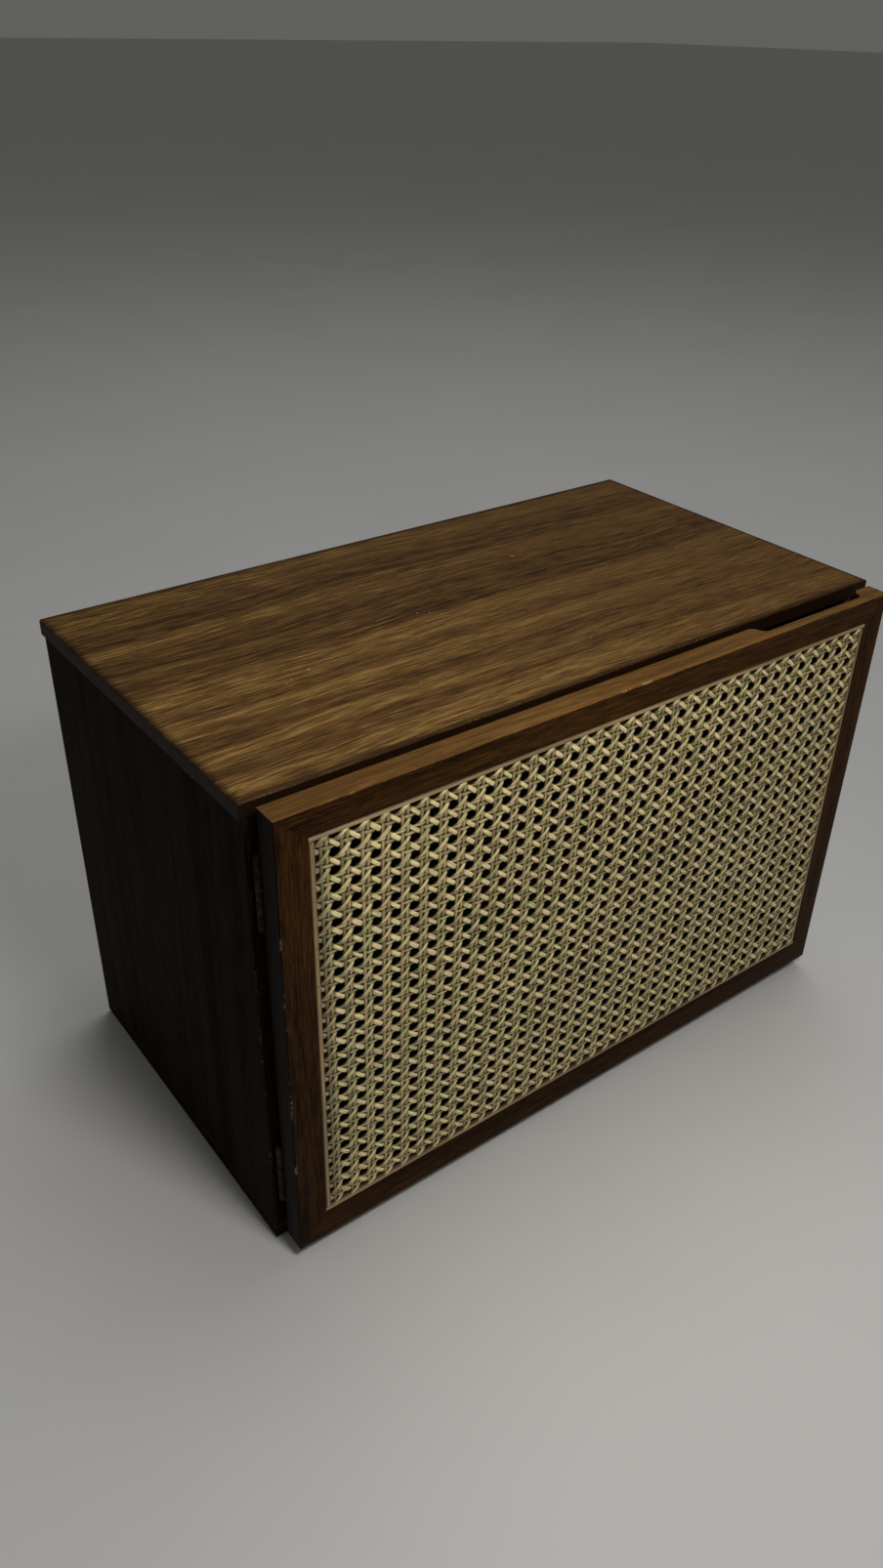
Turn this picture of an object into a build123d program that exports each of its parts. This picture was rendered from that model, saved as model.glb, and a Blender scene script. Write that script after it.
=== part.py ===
"""Media cabinet: a veneered case with one side-hung door filled with open cane webbing.

Millimetres, +Z up. The origin is at the middle of the footprint on the floor. The door faces -Y,
its hinges are on the -X side and its finger notch is near the +X end of its top rail.
"""
import os
from math import hypot

from build123d import *

# ---------------------------------------------------------------- driving dimensions
case_width = 635.0
case_depth = 331.0
case_height = 428.0
board = 13.0                 # top and bottom
side_board = 18.0
top_overhang = 2.5           # of the top beyond each side
glide_height = 3.0
back_thick = 6.0
back_seat = 8.0              # depth of the rebate that takes the back
back_lap = 7.0               # how far the back reaches into each board
divider_thick = 12.0
divider_setback = 14.0
dado_depth = 4.0

door_width = 618.0
door_height = 413.5
door_thick = 20.0
door_bottom = 13.5           # height of its lower edge above the floor
door_gap = 8.5               # between the case's front and the door's back
stile_face = 25.0            # outer edge to the cane groove
top_rail_face = 22.0
bottom_rail_face = 27.5
groove_width = 5.0
groove_depth = 8.0
lip_width = 7.0              # wood between the groove and the opening
lip_recess = 3.0             # the lip lies this far below the face
bead_width = 4.8
bead_proud = 0.6
cane_thick = 2.4
rebate_width = 10.0          # at the back, round the opening
rebate_depth = 8.0
cloth_thick = 1.0

notch_from_right = 15.5      # door's right edge to the notch
notch_length = 145.0
notch_ramp = 15.0            # length of the S-shaped run at each end
notch_depth = 11.5           # into the rail from its back
notch_height = 16.0          # down from the rail's top

hinge_height = 60.0
hinge_from_edge = 70.0       # door's edge to the hinge's middle
knuckle_radius = 3.0
knuckle_clear = 0.4          # between the knuckle and the door's back
pin_radius = 1.5
pin_fit = 0.05               # radial clearance of the pin
leaf_thick = 1.5
leaf_width = 11.0
leaf_screw_inset = 6.4       # pin's line to the screws
leaf_screw_length = 16.0
leaf_screw_step = 22.0
pin_head_radius = 2.6
pin_head_height = 1.6
barrel_count = 5
barrel_gap = 0.4

dowel_radius = 4.0
dowel_length = 26.0
dowel_sink = 9.0             # depth of each dowel in the top or bottom board
dowel_front_inset = 45.0     # case's front to the first dowel
dowel_back_inset = 40.0      # back's seat to the last dowel
corner_dowel_radius = 2.5
corner_dowel_length = 20.0
corner_dowel_reach = 19.0    # door's corner to the dowel, along the mitre
corner_dowel_level = 9.5     # behind the door's face

catch_drop = 95.0            # door's top to the catch's middle
catch_height = 44.0
catch_width = 12.0
catch_length = 28.0
catch_reach = 6.0            # how far the housing stands out of the case
magnet_reach = 0.8           # and the magnet out of the housing
catch_body = 22.0            # height of the housing without its flange
catch_flange = 3.0
catch_flange_length = 16.0
catch_wall = 2.5             # housing's wall beside the magnet
catch_screw_spread = 32.0
magnet_height = 16.0
magnet_depth = 14.0
magnet_clear = 0.1
catch_screw_length = 13.0
strike_height = 42.0
strike_border = 1.0          # of the strike past the housing at each side
strike_screw_spread = 30.0
strike_thick = 1.2
strike_screw_length = 12.0
strike_screw_head = 1.1
bumper_radius = 4.5
bumper_stem = 7.0
bumper_stem_radius = 1.5
bumper_from_edge = 2.0       # door's edge to the button
lower_bumper_rise = 40.0     # above the door's lower edge
upper_bumper_drop = 30.0     # below the door's top
glide_radius = 10.0
glide_nail_radius = 1.2
glide_nail_length = 7.0
glide_inset = 28.0           # case's corner to the glide's middle

screw_radius = 1.4           # countersunk screws
screw_head_radius = 2.8
screw_head = 1.4
screw_tip = 2.5              # length of the point
screw_tip_radius = 0.3
screw_slot_width = 0.7
screw_slot_height = 0.9      # half of it lies in the head

back_screw_radius = 1.4
pan_head_radius = 3.2
pan_head_height = 1.8
back_screw_length = 17.5
brad_length = 11.0
brad_radius = 0.6

fit = 0.05                   # radial clearance round dowels and screws
slack = 0.3                  # room left round the back and in blind holes
arris = 2.0                  # rounding of the top's edges
small_arris = 0.8

# ---------------------------------------------------------------- derived places
half_width = case_width / 2
half_total = (case_depth + door_gap + door_thick + bead_proud) / 2
case_back = half_total
case_front = case_back - case_depth
door_back = case_front - door_gap
door_front = door_back - door_thick

side_out = half_width - top_overhang
side_in = side_out - side_board
floor_top = glide_height + board          # upper face of the bottom board
roof = case_height - board                # lower face of the top board
seat_front = case_back - back_seat

door_left = -door_width / 2
door_right = door_width / 2
door_top = door_bottom + door_height

groove_left = door_left + stile_face
groove_right = door_right - stile_face
groove_low = door_bottom + bottom_rail_face
groove_high = door_top - top_rail_face
open_inset = groove_width + lip_width     # groove's outer line to the opening

hinge_x = door_left
hinge_y = door_back + knuckle_radius + knuckle_clear
hinge_levels = {"lower": door_bottom + hinge_from_edge, "upper": door_top - hinge_from_edge}
leaf_screw_x = hinge_x + leaf_screw_inset
barrel_length = (hinge_height - (barrel_count - 1) * barrel_gap) / barrel_count

top_dowel_level = roof + dowel_sink - dowel_length / 2
bottom_dowel_level = floor_top - dowel_sink + dowel_length / 2
back_screw_face = seat_front + back_thick
catch_level = door_top - catch_drop
stop_width = rebate_width - 0.5
stop_low = door_back - rebate_depth + cloth_thick


# ---------------------------------------------------------------- helpers
def block(x0, x1, y0, y1, z0, z1):
    """Box between two corners."""
    middle = ((x0 + x1) / 2, (y0 + y1) / 2, (z0 + z1) / 2)
    return Pos(*middle) * Box(x1 - x0, y1 - y0, z1 - z0)


def rod(point, direction, length, radius):
    """Cylinder from a point along a direction."""
    plane = Plane(origin=point, z_dir=direction)
    return plane * Cylinder(radius, length, align=(Align.CENTER, Align.CENTER, Align.MIN))


def taper(point, direction, length, radius, end_radius):
    """Cone from a point along a direction."""
    plane = Plane(origin=point, z_dir=direction)
    return plane * Cone(radius, end_radius, length, align=(Align.CENTER, Align.CENTER, Align.MIN))


def joined(parts):
    """One solid made of touching shapes."""
    first, *rest = parts
    return first.fuse(*rest) if rest else first


def cut_all(body, tools):
    """Body with every tool taken away."""
    for tool in tools:
        body = body - tool
    return body


def long_edges(body, axis, keep):
    """Edges along an axis whose centre passes a test."""
    return [e for e in body.edges().filter_by(axis) if keep(e.center())]


def save(name, shape):
    """One STEP file for a sub-part, whether one solid or a group."""
    group = shape if isinstance(shape, list) else [shape]
    solids = [s for item in group for s in item.solids()]
    body = solids[0] if len(solids) == 1 else Compound(children=solids)
    body.label = name
    export_step(body, f"parts/{name}.step")


# ---------------------------------------------------------------- fasteners
def wood_screw(point, direction, length, head=screw_head):
    """Countersunk screw: its head's face is at the point."""
    cone = taper(point, direction, head, screw_head_radius, screw_radius)
    start = Vector(*point) + Vector(*direction) * head
    straight = length - head - screw_tip
    shank = rod(start, direction, straight, screw_radius)
    tip_at = start + Vector(*direction) * straight
    tip = taper(tip_at, direction, screw_tip, screw_radius, screw_tip_radius)
    slot_dir = Vector(0, 0, 1) if abs(direction[2]) < 0.5 else Vector(1, 0, 0)
    slot_plane = Plane(origin=point, x_dir=slot_dir, z_dir=direction)
    slot = slot_plane * Box(screw_head_radius * 2.2, screw_slot_width, screw_slot_height)
    return joined([cone, shank, tip]) - slot


def screw_hole(point, direction, length, head=screw_head):
    """Room for a countersunk screw, a little larger all round."""
    back = Vector(*point) - Vector(*direction) * 0.01
    cone = taper(back, direction, head + 0.01, screw_head_radius + fit, screw_radius + fit)
    shank = rod(point, direction, length + slack, screw_radius + fit)
    return joined([cone, shank])


def dowel(point, direction, length, radius):
    """Plain dowel pin with bevelled ends, centred on the point."""
    start = Vector(*point) - Vector(*direction) * (length / 2)
    pin = rod(start, direction, length, radius)
    return chamfer(pin.edges().filter_by(GeomType.CIRCLE), 0.6)


def dowel_hole(point, direction, length, radius):
    start = Vector(*point) - Vector(*direction) * (length / 2 + 0.2)
    return rod(start, direction, length + 0.4, radius + fit)


# ---------------------------------------------------------------- case
def dowel_points(level):
    """Dowel centres over both side boards at one joint height."""
    middle = side_out - side_board / 2
    rows = [case_front + dowel_front_inset, (case_front + seat_front) / 2,
            seat_front - dowel_back_inset]
    return [(side * middle, y, level) for side in (-1, 1) for y in rows]


def back_screw_points():
    """Screw places round the edge of the back panel."""
    inset = back_lap / 2
    x_edge = side_in + inset
    z_low, z_high = floor_top - inset, roof + inset
    across = [-0.82, -0.28, 0.28, 0.82]
    points = [(x_edge * k, z) for k in across for z in (z_low, z_high)]
    heights = [z_low + (z_high - z_low) * k for k in (0.2, 0.5, 0.8)]
    return points + [(side * x_edge, z) for side in (-1, 1) for z in heights]


def back_seat_room():
    """Rebate round the case's back edge, one box for all four boards."""
    reach = side_in + back_lap + slack
    return block(-reach, reach, seat_front, case_back + 1,
                 floor_top - back_lap - slack, roof + back_lap + slack)


def back_pilot_holes():
    depth = back_screw_length - back_thick + slack
    return [rod((x, seat_front + 1, z), (0, -1, 0), depth + 1, back_screw_radius + fit)
            for x, z in back_screw_points()]


def divider_room():
    half = divider_thick / 2 + 0.1
    return block(-half, half, case_front + divider_setback - 0.2, seat_front,
                 floor_top - dado_depth - 0.1, roof + dado_depth + 0.1)


def top_panel():
    body = block(-half_width, half_width, case_front, case_back, roof, case_height)
    upper = body.edges().group_by(Axis.Z)[-1]
    body = fillet(upper.sort_by(Axis.Y)[:-1] if len(upper) == 4 else upper, arris)
    low_front = long_edges(body, Axis.X, lambda c: c.Z < roof + 0.1 and c.Y < case_front + 0.1)
    body = fillet(low_front, small_arris)
    tools = [back_seat_room(), divider_room()] + back_pilot_holes()
    tools += [dowel_hole(p, (0, 0, 1), dowel_length, dowel_radius)
              for p in dowel_points(top_dowel_level)]
    return cut_all(body, tools)


def bottom_panel():
    body = block(-side_out, side_out, case_front, case_back, glide_height, floor_top)
    low = long_edges(body, Axis.X, lambda c: c.Z < glide_height + 0.1 and c.Y < case_front + 0.1)
    body = fillet(low, small_arris)
    tools = [back_seat_room(), divider_room()] + back_pilot_holes()
    tools += [dowel_hole(p, (0, 0, 1), dowel_length, dowel_radius)
              for p in dowel_points(bottom_dowel_level)]
    nail_room = glide_nail_length + 3.2
    tools += [rod((x, y, glide_height - 1), (0, 0, 1), nail_room, glide_nail_radius + fit)
              for x, y in glide_points()]
    return cut_all(body, tools)


def side_panel(side):
    outer, inner = side * side_out, side * side_in
    body = block(min(outer, inner), max(outer, inner), case_front, case_back, floor_top, roof)
    front = long_edges(body, Axis.Z,
                       lambda c: c.Y < case_front + 0.1 and abs(c.X - outer) < 0.1)
    body = fillet(front, small_arris)
    tools = [back_seat_room()] + back_pilot_holes()
    for level in (top_dowel_level, bottom_dowel_level):
        tools += [dowel_hole(p, (0, 0, 1), dowel_length, dowel_radius) for p in dowel_points(level)]
    if side < 0:
        tools += [screw_hole(p, (0, 1, 0), leaf_screw_length) for p in case_leaf_screw_points()]
    else:
        tools += [screw_hole(p, (1, 0, 0), catch_screw_length) for p in catch_screw_points()]
        tools += [rod((x, case_front - 1, z), (0, 1, 0), bumper_stem + 1.2, bumper_stem_radius + fit)
                  for x, z in bumper_points()]
    return cut_all(body, tools)


def back_panel():
    body = block(-side_in - back_lap, side_in + back_lap, seat_front, seat_front + back_thick,
                 floor_top - back_lap, roof + back_lap)
    holes = [rod((x, seat_front - 1, z), (0, 1, 0), back_thick + 2, back_screw_radius + 0.2)
             for x, z in back_screw_points()]
    return cut_all(body, holes)


def centre_divider():
    half = divider_thick / 2
    body = block(-half, half, case_front + divider_setback, seat_front - 0.3,
                 floor_top - dado_depth, roof + dado_depth)
    front = long_edges(body, Axis.Z, lambda c: c.Y < case_front + divider_setback + 0.1)
    return fillet(front, 1.5)


def case_dowels(level):
    return [dowel(p, (0, 0, 1), dowel_length, dowel_radius) for p in dowel_points(level)]


def back_panel_screws():
    """Pan-head screws that hold the back in its rebate."""
    screws = []
    for x, z in back_screw_points():
        head = rod((x, back_screw_face, z), (0, 1, 0), pan_head_height, pan_head_radius)
        head = fillet(head.edges().group_by(Axis.Y)[-1], 1.0)
        straight = back_screw_length - screw_tip
        shank = rod((x, back_screw_face + 0.2, z), (0, -1, 0), straight + 0.2, back_screw_radius)
        tip = taper((x, back_screw_face - straight, z), (0, -1, 0), screw_tip, back_screw_radius,
                    screw_tip_radius)
        slot = block(x - 3.5, x + 3.5, back_screw_face + 1.0, back_screw_face + 2.5, z - 0.4, z + 0.4)
        screws.append(joined([head, shank, tip]) - slot)
    return screws


def glide_points():
    return [(side * (side_out - glide_inset), y) for side in (-1, 1)
            for y in (case_front + glide_inset, case_back - glide_inset)]


def floor_glides():
    """Nail-on glides with a flat foot."""
    glides = []
    for x, y in glide_points():
        foot = rod((x, y, 0), (0, 0, 1), glide_height, glide_radius)
        foot = fillet(foot.edges().group_by(Axis.Z)[0], 1.2)
        nail = rod((x, y, glide_height - 0.5), (0, 0, 1), glide_nail_length + 0.5, glide_nail_radius)
        tip = taper((x, y, glide_height + glide_nail_length), (0, 0, 1), 2, glide_nail_radius,
                    screw_tip_radius)
        glides.append(joined([foot, nail, tip]))
    return glides


# ---------------------------------------------------------------- catch and bumpers
def catch_box():
    x1 = side_in
    y0 = case_front - catch_reach
    return x1 - catch_width, x1, y0, y0 + catch_length


def catch_screw_points():
    x0, x1, y0, y1 = catch_box()
    x, y = x1 - catch_flange, y1 - catch_flange_length / 2
    return [(x, y, catch_level + side * catch_screw_spread / 2) for side in (-1, 1)]


def catch_housing():
    x0, x1, y0, y1 = catch_box()
    low, high = catch_level - catch_height / 2, catch_level + catch_height / 2
    body = block(x0, x1, y0, y1, catch_level - catch_body / 2, catch_level + catch_body / 2)
    body = fillet(body.edges().filter_by(Axis.Y), 0.8)
    flange = block(x1 - catch_flange, x1, y1 - catch_flange_length, y1, low, high)
    body = joined([body, flange])
    half = magnet_height / 2 + magnet_clear
    pocket = block(x0 + catch_wall, x1 - catch_wall, y0 - 1, y0 + magnet_depth,
                   catch_level - half, catch_level + half)
    holes = [screw_hole(p, (1, 0, 0), catch_screw_length) for p in catch_screw_points()]
    return cut_all(body, [pocket] + holes)


def catch_magnet():
    """Plain block magnet, set in the housing's pocket."""
    x0, x1, y0, y1 = catch_box()
    wall = catch_wall + magnet_clear
    return block(x0 + wall, x1 - wall, y0 - magnet_reach, y0 + magnet_depth - magnet_clear,
                 catch_level - magnet_height / 2, catch_level + magnet_height / 2)


def catch_screws():
    return [wood_screw(p, (1, 0, 0), catch_screw_length) for p in catch_screw_points()]


def strike_box():
    x0, x1, y0, y1 = catch_box()
    return (x0 - strike_border, x1 + strike_border,
            catch_level - strike_height / 2, catch_level + strike_height / 2)


def strike_screw_points():
    x0, x1, z0, z1 = strike_box()
    return [((x0 + x1) / 2, door_back + strike_thick, catch_level + side * strike_screw_spread / 2)
            for side in (-1, 1)]


def strike_screw_holes():
    return [screw_hole(p, (0, -1, 0), strike_screw_length, head=strike_screw_head)
            for p in strike_screw_points()]


def strike_plate():
    x0, x1, z0, z1 = strike_box()
    plate = block(x0, x1, door_back, door_back + strike_thick, z0, z1)
    plate = fillet(plate.edges().filter_by(Axis.Y), 2)
    return cut_all(plate, strike_screw_holes())


def strike_screws():
    return [wood_screw(p, (0, -1, 0), strike_screw_length, head=strike_screw_head)
            for p in strike_screw_points()]


def bumper_points():
    x = door_right - bumper_radius - bumper_from_edge
    return [(x, door_bottom + lower_bumper_rise), (x, door_top - upper_bumper_drop)]


def door_bumpers():
    """Rubber buttons on the case's front edge that stop the door."""
    bumpers = []
    for x, z in bumper_points():
        button = rod((x, case_front, z), (0, -1, 0), door_gap - slack, bumper_radius)
        button = fillet(button.edges().group_by(Axis.Y)[0], 1.2)
        stem = rod((x, case_front - 0.5, z), (0, 1, 0), bumper_stem + 0.5, bumper_stem_radius)
        bumpers.append(joined([button, stem]))
    return bumpers


# ---------------------------------------------------------------- hinges
def leaf_screw_levels():
    return [level + k * leaf_screw_step for level in hinge_levels.values() for k in (-1, 0, 1)]


def case_leaf_screw_points():
    return [(leaf_screw_x, case_front - leaf_thick, z) for z in leaf_screw_levels()]


def door_leaf_screw_points():
    return [(leaf_screw_x, door_back + leaf_thick, z) for z in leaf_screw_levels()]


def barrel_spans(level, odd):
    """Heights of one leaf's knuckle barrels."""
    low = level - hinge_height / 2
    step = barrel_length + barrel_gap
    return [(low + i * step, low + i * step + barrel_length)
            for i in range(barrel_count) if i % 2 == odd]


def hinge_leaf(level, plate_low, plate_high, odd, screws, inward):
    """Leaf with its knuckle barrels, joined by a short bent web."""
    low, high = level - hinge_height / 2, level + hinge_height / 2
    free = hinge_x + knuckle_radius + 0.4
    plate = block(free, hinge_x + leaf_width, plate_low, plate_high, low, high)
    pieces = [plate]
    for z0, z1 in barrel_spans(level, odd):
        pieces.append(rod((hinge_x, hinge_y, z0), (0, 0, 1), z1 - z0, knuckle_radius))
        pieces.append(block(hinge_x + 1, free + 0.1, plate_low, plate_high, z0, z1))
        y0, y1 = sorted((hinge_y, plate_high if inward > 0 else plate_low))
        pieces.append(block(hinge_x + 1, hinge_x + 2.5, y0, y1, z0, z1))
    body = joined(pieces)
    corners = long_edges(body, Axis.Y, lambda c: c.X > hinge_x + leaf_width - 0.1)
    body = fillet(corners, 2)
    bore = rod((hinge_x, hinge_y, low - 1), (0, 0, 1), hinge_height + 2, pin_radius + pin_fit)
    holes = [screw_hole(p, (0, inward, 0), leaf_screw_length) for p in screws
             if low < p[2] < high]
    return cut_all(body, [bore] + holes)


def hinge_case_leaf(level):
    return hinge_leaf(level, case_front - leaf_thick, case_front, 0, case_leaf_screw_points(), 1)


def hinge_door_leaf(level):
    return hinge_leaf(level, door_back, door_back + leaf_thick, 1, door_leaf_screw_points(), -1)


def hinge_pin(level):
    """Pin with a small domed head at each end of the knuckle."""
    low, high = level - hinge_height / 2, level + hinge_height / 2
    shaft = rod((hinge_x, hinge_y, low - 0.6), (0, 0, 1), hinge_height + 1.2, pin_radius)
    top_head = rod((hinge_x, hinge_y, high + 0.2), (0, 0, 1), pin_head_height, pin_head_radius)
    low_head = rod((hinge_x, hinge_y, low - 0.2), (0, 0, -1), pin_head_height, pin_head_radius)
    upper = fillet(top_head.edges().group_by(Axis.Z)[-1], 1.2)
    lower = fillet(low_head.edges().group_by(Axis.Z)[0], 1.2)
    return joined([shaft, upper, lower])


# ---------------------------------------------------------------- door
def inset_frame(inset):
    """Rectangle measured inwards from the groove's outer line."""
    return groove_left + inset, groove_right - inset, groove_low + inset, groove_high - inset


def frame_box(inset, y0, y1):
    x0, x1, z0, z1 = inset_frame(inset)
    return block(x0, x1, y0, y1, z0, z1)


def s_run(start, end):
    """Two equal arcs between parallel lines, both ends running along X."""
    middle = ((start[0] + end[0]) / 2, (start[1] + end[1]) / 2)
    return [TangentArc(start, middle, tangent=(1, 0)),
            TangentArc(middle, end, tangent=(-1, 0), tangent_from_first=False)]


def notch_room():
    """Finger notch in the back of the top rail, with an S-shaped run at each end."""
    x1 = door_right - notch_from_right
    x0 = x1 - notch_length
    y0, y1 = door_back, door_back - notch_depth
    a, b = (x0, y0), (x0 + notch_ramp, y1)
    c, d = (x1 - notch_ramp, y1), (x1, y0)
    outline = s_run(a, b) + [Line(b, c)] + s_run(c, d)
    outline.append(Polyline(d, (x1, y0 + 1), (x0, y0 + 1), a))
    plan = make_face(outline)
    return Pos(0, 0, door_top - notch_height) * extrude(plan, notch_height + 1)


def corner_dowel_places():
    """Centre and direction of the dowel across each mitre."""
    x0, x1, z0, z1 = inset_frame(open_inset)
    level = door_front + corner_dowel_level
    places = []
    for outer_x, inner_x in ((door_left, x0), (door_right, x1)):
        for outer_z, inner_z in ((door_bottom, z0), (door_top, z1)):
            dx, dz = inner_x - outer_x, inner_z - outer_z
            size = hypot(dx, dz)
            along = corner_dowel_reach / size
            centre = (outer_x + dx * along, level, outer_z + dz * along)
            places.append((centre, (dz / size, 0, -dx / size)))
    return places


def corner_dowels():
    return [dowel(p, d, corner_dowel_length, corner_dowel_radius)
            for p, d in corner_dowel_places()]


def door_ring():
    """The four frame members before they are parted at the mitres."""
    ring = block(door_left, door_right, door_front, door_back, door_bottom, door_top)
    lip_face = door_front + lip_recess
    groove_end = door_front + groove_depth
    ring = ring - frame_box(open_inset, door_front - 1, door_back + 1)
    ring = ring - frame_box(groove_width, door_front - 1, lip_face)
    groove = frame_box(0, door_front - 1, groove_end)
    groove = groove - frame_box(groove_width, door_front - 2, groove_end + 1)
    ring = ring - groove
    ring = ring - frame_box(open_inset - rebate_width, door_back - rebate_depth, door_back + 1)
    tools = [dowel_hole(p, d, corner_dowel_length, corner_dowel_radius)
             for p, d in corner_dowel_places()]
    tools += [screw_hole(p, (0, -1, 0), leaf_screw_length) for p in door_leaf_screw_points()]
    tools += strike_screw_holes()
    tools += [brad_hole(p, d) for p, d in brad_places()]
    return cut_all(ring, tools + [notch_room()])


def mitre_prism(outer_a, outer_b, inner_b, inner_a):
    """Upright prism over four corners given in X and Z."""
    face = make_face(Plane.XZ * Polyline(outer_a, outer_b, inner_b, inner_a, close=True))
    prism = extrude(face, door_thick + 40, both=True)
    return prism


def soften_outer_edge(member, axis, outer):
    """Round the long front edge that lies at the given height or side."""
    def on_edge(c):
        place = c.Z if axis == Axis.X else c.X
        return abs(place - outer) < 0.01 and abs(c.Y - door_front) < 0.01
    return fillet(long_edges(member, axis, on_edge), small_arris)


def door_members():
    """Mitred rails and stiles, each cut from the ring by its own prism."""
    x0, x1, z0, z1 = inset_frame(open_inset)
    corners = {"bl": (door_left, door_bottom), "br": (door_right, door_bottom),
               "tl": (door_left, door_top), "tr": (door_right, door_top)}
    inner = {"bl": (x0, z0), "br": (x1, z0), "tl": (x0, z1), "tr": (x1, z1)}
    ring = door_ring()
    plans = {"door_top_rail": ("tl", "tr", Axis.X, door_top),
             "door_bottom_rail": ("bl", "br", Axis.X, door_bottom),
             "door_left_stile": ("bl", "tl", Axis.Z, door_left),
             "door_right_stile": ("br", "tr", Axis.Z, door_right)}
    members = {}
    for name, (a, b, axis, outer) in plans.items():
        shift = Pos(0, (door_front + door_back) / 2, 0)
        prism = shift * mitre_prism(corners[a], corners[b], inner[b], inner[a])
        members[name] = soften_outer_edge(ring & prism, axis, outer)
    return members


def bead(x0, x1, z0, z1):
    """Reed spline in the groove: a square foot with a half-round crown."""
    radius = bead_width / 2
    side_gap = (groove_width - bead_width) / 2
    crown = door_front - bead_proud + radius
    foot_end = door_front + groove_depth - 1
    upright = (z1 - z0) > (x1 - x0)
    if upright:
        middle = (x0 + x1) / 2
        foot = block(x0 + side_gap, x1 - side_gap, crown, foot_end, z0, z1)
        top = rod((middle, crown, z0), (0, 0, 1), z1 - z0, radius)
    else:
        middle = (z0 + z1) / 2
        foot = block(x0, x1, crown, foot_end, z0 + side_gap, z1 - side_gap)
        top = rod((x0, crown, middle), (1, 0, 0), x1 - x0, radius)
    return joined([foot, top])


def beads():
    """Top and bottom beads run through, the upright ones butt between them."""
    x0, x1, z0, z1 = inset_frame(0)
    w = groove_width
    return {"cane_bead_top": bead(x0 + 0.1, x1 - 0.1, z1 - w, z1),
            "cane_bead_bottom": bead(x0 + 0.1, x1 - 0.1, z0, z0 + w),
            "cane_bead_left": bead(x0, x0 + w, z0 + w, z1 - w),
            "cane_bead_right": bead(x1 - w, x1, z0 + w, z1 - w)}


def cane_webbing():
    """Plain sheet that stands for the woven cane on the lip."""
    face = door_front + lip_recess
    return frame_box(groove_width + 0.1, face - cane_thick, face)


def grille_cloth():
    """Flat cloth behind the opening, in the rebate."""
    seat = door_back - rebate_depth
    sheet = frame_box(open_inset - rebate_width + 0.5, seat, seat + cloth_thick)
    return cut_all(sheet, [brad_hole(p, d) for p, d in brad_places()])


def cloth_stops():
    """Thin battens that hold the cloth: top and bottom run through."""
    x0, x1, z0, z1 = inset_frame(open_inset - rebate_width + 0.3)
    w = stop_width
    spans = {"cloth_stop_top": (x0, x1, z1 - w, z1), "cloth_stop_bottom": (x0, x1, z0, z0 + w),
             "cloth_stop_left": (x0, x0 + w, z0 + w, z1 - w),
             "cloth_stop_right": (x1 - w, x1, z0 + w, z1 - w)}
    stops = {}
    for name, (a, b, c, d) in spans.items():
        bar = block(a, b, stop_low, door_back, c, d)
        bar = fillet(long_back_edges(bar), 0.8)
        stops[name] = cut_all(bar, [brad_hole(p, e) for p, e in brad_places()])
    return stops


def long_back_edges(bar):
    """The two long edges on a batten's rear face."""
    rear = bar.edges().group_by(Axis.Y)[-1]
    return rear.sort_by(SortBy.LENGTH)[-2:]


def brad_places():
    """Brads go straight through the stops into the back of the lip."""
    x0, x1, z0, z1 = inset_frame(open_inset - rebate_width + 0.3)
    half = stop_width / 2
    columns = [x0 + (x1 - x0) * k for k in (0.08, 0.36, 0.64, 0.92)]
    rows = [z0 + (z1 - z0) * k for k in (0.2, 0.5, 0.8)]
    points = [(x, door_back, z) for x in columns for z in (z0 + half, z1 - half)]
    points += [(x, door_back, z) for z in rows for x in (x0 + half, x1 - half)]
    return [(p, (0, -1, 0)) for p in points]


def brad_hole(point, direction):
    start = Vector(*point) - Vector(*direction) * 0.5
    return rod(start, direction, brad_length + 0.8, brad_radius + fit)


def cloth_stop_brads():
    return [rod(p, d, brad_length, brad_radius) for p, d in brad_places()]


# ---------------------------------------------------------------- write every sub-part
def main():
    os.makedirs("parts", exist_ok=True)
    save("top_panel", top_panel())
    save("bottom_panel", bottom_panel())
    save("left_side_panel", side_panel(-1))
    save("right_side_panel", side_panel(1))
    save("back_panel", back_panel())
    save("centre_divider", centre_divider())
    save("top_dowels", case_dowels(top_dowel_level))
    save("bottom_dowels", case_dowels(bottom_dowel_level))
    save("back_panel_screws", back_panel_screws())
    save("floor_glides", floor_glides())
    save("catch_housing", catch_housing())
    save("catch_magnet", catch_magnet())
    save("catch_screws", catch_screws())
    save("door_bumpers", door_bumpers())
    save("strike_plate", strike_plate())
    save("strike_screws", strike_screws())
    for name, level in hinge_levels.items():
        save(f"{name}_hinge_case_leaf", hinge_case_leaf(level))
        save(f"{name}_hinge_door_leaf", hinge_door_leaf(level))
        save(f"{name}_hinge_pin", hinge_pin(level))
    save("hinge_case_screws", [wood_screw(p, (0, 1, 0), leaf_screw_length)
                               for p in case_leaf_screw_points()])
    save("hinge_door_screws", [wood_screw(p, (0, -1, 0), leaf_screw_length)
                               for p in door_leaf_screw_points()])
    for name, member in door_members().items():
        save(name, member)
    save("corner_dowels", corner_dowels())
    for name, piece in beads().items():
        save(name, piece)
    save("cane_webbing", cane_webbing())
    save("grille_cloth", grille_cloth())
    for name, piece in cloth_stops().items():
        save(name, piece)
    save("cloth_stop_brads", cloth_stop_brads())


main()
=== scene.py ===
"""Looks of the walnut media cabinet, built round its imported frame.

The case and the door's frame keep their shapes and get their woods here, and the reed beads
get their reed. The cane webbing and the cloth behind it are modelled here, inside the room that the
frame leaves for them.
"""

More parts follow.
